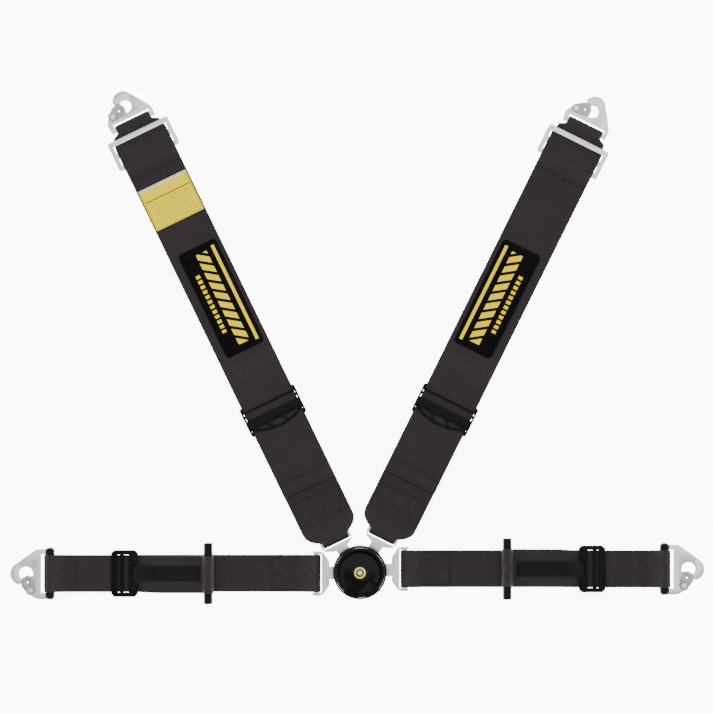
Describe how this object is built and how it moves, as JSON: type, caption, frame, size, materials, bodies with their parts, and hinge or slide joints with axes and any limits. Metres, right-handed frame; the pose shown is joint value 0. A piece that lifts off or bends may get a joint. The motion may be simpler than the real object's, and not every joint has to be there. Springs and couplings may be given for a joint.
{
  "type": "racing harness",
  "caption": "Four-point racing harness with a rotary cam buckle, sliding adjusters, pull straps and snap hooks on the strap ends, laid flat.",
  "frame": {"origin": "on the axis of the rotary buckle, at its flat back face", "axes": "+Z away from the wearer; +X towards the right end of the lap straps as seen from the front; +Y up towards the shoulder straps"},
  "size_m": [0.9388, 0.6942, 0.0338],
  "materials": {
    "emblem_yellow": "printed yellow ring",
    "gloss_black": "gloss black",
    "label_yellow": "printed satin label",
    "patch_black": "printed rubber patch",
    "spring_steel": "spring steel",
    "steel_black": "black powder coat",
    "steel_bright": "bright nickel plated steel",
    "steel_dark": "black oxide steel",
    "steel_grey": "stainless steel, satin",
    "steel_zinc": "zinc plated",
    "webbing_black": "woven polyester webbing, matt with a slight sheen"
  },
  "bodies": {
    "buckle": {"buckle_base_plate": "steel_dark", "buckle_housing": "gloss_black", "latch_carrier": "steel_dark", "fixed_tongue_pin": "steel_zinc", "housing_screws": "steel_zinc", "latch_springs": "spring_steel", "knob_return_spring": "spring_steel"},
    "knob": {"turn_knob": "gloss_black", "knob_emblem": "emblem_yellow", "cam_spindle": "steel_zinc"},
    "latch_shoulder_left": {"latch_shoulder_left": "steel_zinc"},
    "latch_shoulder_right": {"latch_shoulder_right": "steel_zinc"},
    "latch_lap_right": {"latch_lap_right": "steel_zinc"},
    "shoulder_left_tongue": {"shoulder_left_tongue": "steel_bright"},
    "shoulder_left_lower": {"shoulder_left_lower_web": "webbing_black", "shoulder_left_adjuster_frame": "steel_black"},
    "shoulder_left_upper": {"shoulder_left_upper_web": "webbing_black", "shoulder_left_three_bar_slide": "steel_bright", "shoulder_left_patch": "patch_black", "shoulder_left_label": "label_yellow"},
    "shoulder_left_lock_bar": {"shoulder_left_adjuster_lock_bar": "steel_black"},
    "shoulder_left_hook": {"shoulder_left_hook": "steel_bright", "shoulder_left_gate_rivet": "steel_bright", "shoulder_left_gate_spring": "spring_steel"},
    "shoulder_left_gate": {"shoulder_left_gate": "steel_grey"},
    "shoulder_right_tongue": {"shoulder_right_tongue": "steel_bright"},
    "shoulder_right_lower": {"shoulder_right_lower_web": "webbing_black", "shoulder_right_adjuster_frame": "steel_black"},
    "shoulder_right_upper": {"shoulder_right_upper_web": "webbing_black", "shoulder_right_three_bar_slide": "steel_bright", "shoulder_right_patch": "patch_black"},
    "shoulder_right_lock_bar": {"shoulder_right_adjuster_lock_bar": "steel_black"},
    "shoulder_right_hook": {"shoulder_right_hook": "steel_bright", "shoulder_right_gate_rivet": "steel_bright", "shoulder_right_gate_spring": "spring_steel"},
    "shoulder_right_gate": {"shoulder_right_gate": "steel_grey"},
    "lap_left_tongue": {"lap_left_tongue": "steel_bright"},
    "lap_left_inner": {"lap_left_inner_web": "webbing_black", "lap_left_adjuster_frame": "steel_black"},
    "lap_left_outer": {"lap_left_outer_web": "webbing_black", "lap_left_toggle_bar": "gloss_black"},
    "lap_left_lock_bar": {"lap_left_adjuster_lock_bar": "steel_black"},
    "lap_left_release": {"lap_left_release_strap": "webbing_black"},
    "lap_left_hook": {"lap_left_hook": "steel_bright", "lap_left_gate_rivet": "steel_bright", "lap_left_gate_spring": "spring_steel", "lap_left_hook_bar_cover": "gloss_black"},
    "lap_left_gate": {"lap_left_gate": "steel_grey"},
    "lap_right_tongue": {"lap_right_tongue": "steel_bright"},
    "lap_right_inner": {"lap_right_inner_web": "webbing_black", "lap_right_adjuster_frame": "steel_black"},
    "lap_right_outer": {"lap_right_outer_web": "webbing_black", "lap_right_toggle_bar": "gloss_black"},
    "lap_right_lock_bar": {"lap_right_adjuster_lock_bar": "steel_black"},
    "lap_right_release": {"lap_right_release_strap": "webbing_black"},
    "lap_right_hook": {"lap_right_hook": "steel_bright", "lap_right_gate_rivet": "steel_bright", "lap_right_gate_spring": "spring_steel", "lap_right_hook_bar_cover": "gloss_black"},
    "lap_right_gate": {"lap_right_gate": "steel_grey"}
  },
  "joints": [
    {"name": "knob_turn", "type": "hinge", "parent": "buckle", "child": "knob", "pos_m": [0, 0, 0.02], "axis": [0, 0, 1], "range_deg": [0, 30], "stiffness_Nm_per_rad": 0.15, "deforming": ["knob_return_spring", "latch_springs"]},
    {"name": "latch_shoulder_left_lift", "type": "slide", "parent": "buckle", "child": "latch_shoulder_left", "axis": [0, 0, 1], "range_m": [0, 0.0032]},
    {"name": "latch_shoulder_right_lift", "type": "slide", "parent": "buckle", "child": "latch_shoulder_right", "axis": [0, 0, 1], "range_m": [0, 0.0032]},
    {"name": "latch_lap_right_lift", "type": "slide", "parent": "buckle", "child": "latch_lap_right", "axis": [0, 0, 1], "range_m": [0, 0.0032]},
    {"name": "shoulder_left_tongue_swivel", "type": "hinge", "parent": "buckle", "child": "shoulder_left_tongue", "pos_m": [-0.01206, 0.01595, 0.0056], "axis": [0, 0, 1], "range_deg": [-2, 2]},
    {"name": "shoulder_left_strap_swing", "type": "hinge", "parent": "shoulder_left_tongue", "child": "shoulder_left_lower", "pos_m": [-0.0332, 0.0439, 0.0056], "axis": [0.8998, 0.4363, 0], "range_deg": [0, 60]},
    {"name": "shoulder_left_length_adjust", "type": "slide", "parent": "shoulder_left_lower", "child": "shoulder_left_upper", "axis": [-0.4363, 0.8998, 0], "range_m": [-0.03, 0.04]},
    {"name": "shoulder_left_lock_bar_slide", "type": "slide", "parent": "shoulder_left_lower", "child": "shoulder_left_lock_bar", "axis": [-0.4363, 0.8998, 0], "range_m": [-0.0015, 0.0015]},
    {"name": "shoulder_left_hook_swing", "type": "hinge", "parent": "shoulder_left_upper", "child": "shoulder_left_hook", "pos_m": [-0.307, 0.60852, 0.0056], "axis": [0.8998, 0.4363, 0], "range_deg": [0, 60]},
    {"name": "shoulder_left_gate_open", "type": "hinge", "parent": "shoulder_left_hook", "child": "shoulder_left_gate", "pos_m": [-0.33469, 0.61565, 0.0056], "axis": [0, 0, -1], "range_deg": [0, 30], "stiffness_Nm_per_rad": 0.05, "springref_deg": -11.46, "deforming": ["shoulder_left_gate_spring"]},
    {"name": "shoulder_right_tongue_swivel", "type": "hinge", "parent": "buckle", "child": "shoulder_right_tongue", "pos_m": [0.01058, 0.01697, 0.0056], "axis": [0, 0, 1], "range_deg": [-2, 2]},
    {"name": "shoulder_right_strap_swing", "type": "hinge", "parent": "shoulder_right_tongue", "child": "shoulder_right_lower", "pos_m": [0.0308, 0.0494, 0.0056], "axis": [0.8959, -0.4443, 0], "range_deg": [0, 60]},
    {"name": "shoulder_right_length_adjust", "type": "slide", "parent": "shoulder_right_lower", "child": "shoulder_right_upper", "axis": [0.4443, 0.8959, 0], "range_m": [-0.03, 0.04]},
    {"name": "shoulder_right_lock_bar_slide", "type": "slide", "parent": "shoulder_right_lower", "child": "shoulder_right_lock_bar", "axis": [0.4443, 0.8959, 0], "range_m": [-0.0015, 0.0015]},
    {"name": "shoulder_right_hook_swing", "type": "hinge", "parent": "shoulder_right_upper", "child": "shoulder_right_hook", "pos_m": [0.3045, 0.60125, 0.0056], "axis": [0.8959, -0.4443, 0], "range_deg": [0, 60]},
    {"name": "shoulder_right_gate_open", "type": "hinge", "parent": "shoulder_right_hook", "child": "shoulder_right_gate", "pos_m": [0.29319, 0.62751, 0.0056], "axis": [0, 0, -1], "range_deg": [0, 30], "stiffness_Nm_per_rad": 0.05, "springref_deg": -11.46, "deforming": ["shoulder_right_gate_spring"]},
    {"name": "lap_left_tongue_swivel", "type": "hinge", "parent": "buckle", "child": "lap_left_tongue", "pos_m": [-0.01999, -0.00075, 0.0056], "axis": [0, 0, 1], "range_deg": [-2, 2]},
    {"name": "lap_left_strap_swing", "type": "hinge", "parent": "lap_left_tongue", "child": "lap_left_inner", "pos_m": [-0.0585, -0.0022, 0.0056], "axis": [0, 1, 0], "range_deg": [0, 60]},
    {"name": "lap_left_length_adjust", "type": "slide", "parent": "lap_left_inner", "child": "lap_left_outer", "axis": [-1, 0, 0], "range_m": [-0.04, 0.003]},
    {"name": "lap_left_lock_bar_slide", "type": "slide", "parent": "lap_left_inner", "child": "lap_left_lock_bar", "axis": [-1, 0, 0], "range_m": [-0.0015, 0.0015]},
    {"name": "lap_left_release_lift", "type": "hinge", "parent": "lap_left_inner", "child": "lap_left_release", "pos_m": [-0.3019, -0.0022, 0.0115], "axis": [0, -1, 0], "range_deg": [0, 90]},
    {"name": "lap_left_hook_swing", "type": "hinge", "parent": "lap_left_outer", "child": "lap_left_hook", "pos_m": [-0.4192, -0.0022, 0.0083], "axis": [0, 1, 0], "range_deg": [0, 60]},
    {"name": "lap_left_gate_open", "type": "hinge", "parent": "lap_left_hook", "child": "lap_left_gate", "pos_m": [-0.4459, -0.0252, 0.0083], "axis": [0, 0, -1], "range_deg": [0, 38], "stiffness_Nm_per_rad": 0.05, "springref_deg": -11.46, "deforming": ["lap_left_gate_spring"]},
    {"name": "lap_right_tongue_swivel", "type": "hinge", "parent": "buckle", "child": "lap_right_tongue", "pos_m": [0.01996, 0.00132, 0.0056], "axis": [0, 0, 1], "range_deg": [-2, 2]},
    {"name": "lap_right_strap_swing", "type": "hinge", "parent": "lap_right_tongue", "child": "lap_right_inner", "pos_m": [0.0605, 0.004, 0.0056], "axis": [0, -1, 0], "range_deg": [0, 60]},
    {"name": "lap_right_length_adjust", "type": "slide", "parent": "lap_right_inner", "child": "lap_right_outer", "axis": [1, 0, 0], "range_m": [-0.04, 0.003]},
    {"name": "lap_right_lock_bar_slide", "type": "slide", "parent": "lap_right_inner", "child": "lap_right_lock_bar", "axis": [1, 0, 0], "range_m": [-0.0015, 0.0015]},
    {"name": "lap_right_release_lift", "type": "hinge", "parent": "lap_right_inner", "child": "lap_right_release", "pos_m": [0.2975, 0.004, 0.0115], "axis": [0, 1, 0], "range_deg": [0, 90]},
    {"name": "lap_right_hook_swing", "type": "hinge", "parent": "lap_right_outer", "child": "lap_right_hook", "pos_m": [0.412, 0.004, 0.0083], "axis": [0, -1, 0], "range_deg": [0, 60]},
    {"name": "lap_right_gate_open", "type": "hinge", "parent": "lap_right_hook", "child": "lap_right_gate", "pos_m": [0.4387, -0.019, 0.0083], "axis": [0, 0, 1], "range_deg": [0, 38], "stiffness_Nm_per_rad": 0.05, "springref_deg": -11.46, "deforming": ["lap_right_gate_spring"]}
  ],
  "couplings": [
    {"joint": "latch_shoulder_left_lift", "follows": "knob_turn", "m_per_rad": 0.0061116},
    {"joint": "latch_shoulder_right_lift", "follows": "knob_turn", "m_per_rad": 0.0061116},
    {"joint": "latch_lap_right_lift", "follows": "knob_turn", "m_per_rad": 0.0061116}
  ]
}
